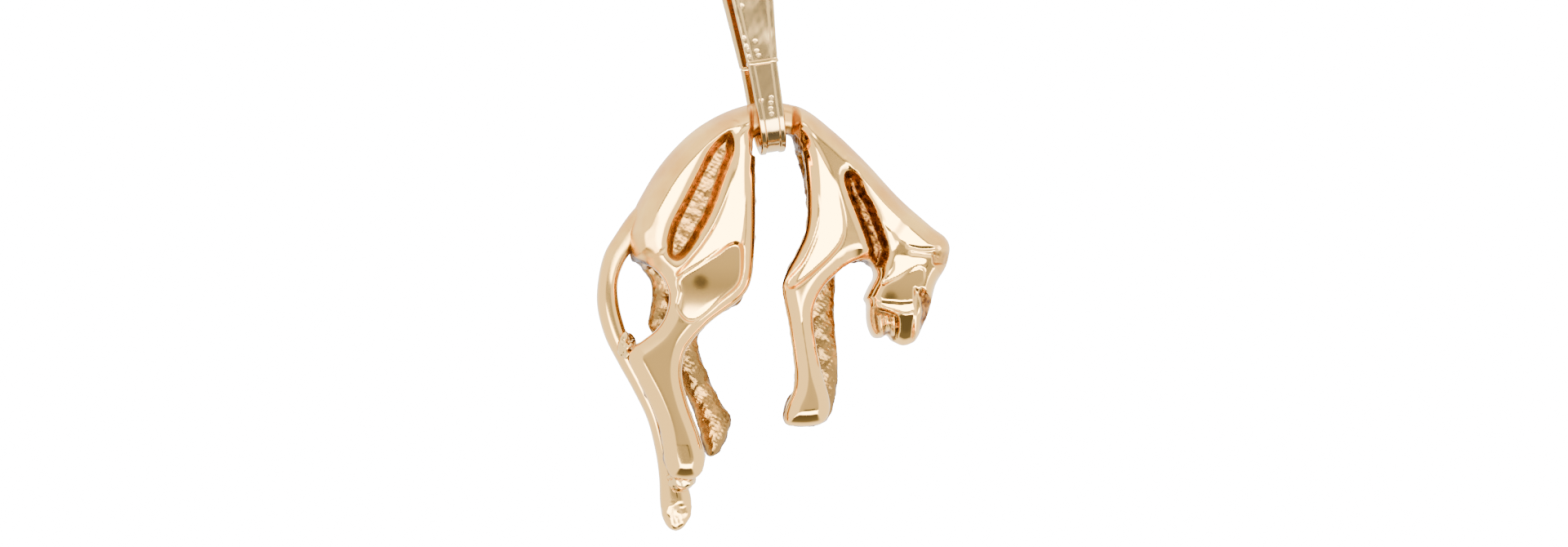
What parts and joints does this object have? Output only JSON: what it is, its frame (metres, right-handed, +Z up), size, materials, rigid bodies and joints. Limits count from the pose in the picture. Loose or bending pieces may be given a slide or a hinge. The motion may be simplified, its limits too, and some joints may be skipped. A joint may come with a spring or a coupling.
{
  "type": "animal pendant on a folded strap bail",
  "caption": "Cast gold stylised big-cat pendant with arched back, paired legs and a long curved tail, swinging in the lower loop of a tall tapered strap bail.",
  "frame": {"origin": "chain seat: the middle of the crown's inner surface, where the chain carries the bail", "axes": "+Z up along the way the pendant hangs, +X the way the cat faces, -Y out of the cat's near side"},
  "size_m": [0.0196, 0.0054, 0.0339],
  "materials": {
    "cast_gold": "polished cast gold alloy with as-cast recesses",
    "strip_gold": "polished rolled gold strip",
    "solder": "flowed gold solder"
  },
  "bodies": {
    "bail": {"bail_strap": "strip_gold", "bail_loop": "strip_gold", "front_seam_solder": "solder", "rear_seam_solder": "solder"},
    "panther": {"near_half": "cast_gold", "far_half": "cast_gold", "tail": "cast_gold", "hock_solder": "solder", "paw_solder": "solder"}
  },
  "joints": [
    {"name": "waist_swing", "type": "hinge", "parent": "bail", "child": "panther", "pos_m": [0.0017, 0, -0.01046], "axis": [0.9871, 0, 0.1599], "range_deg": [-90, 90]}
  ]
}
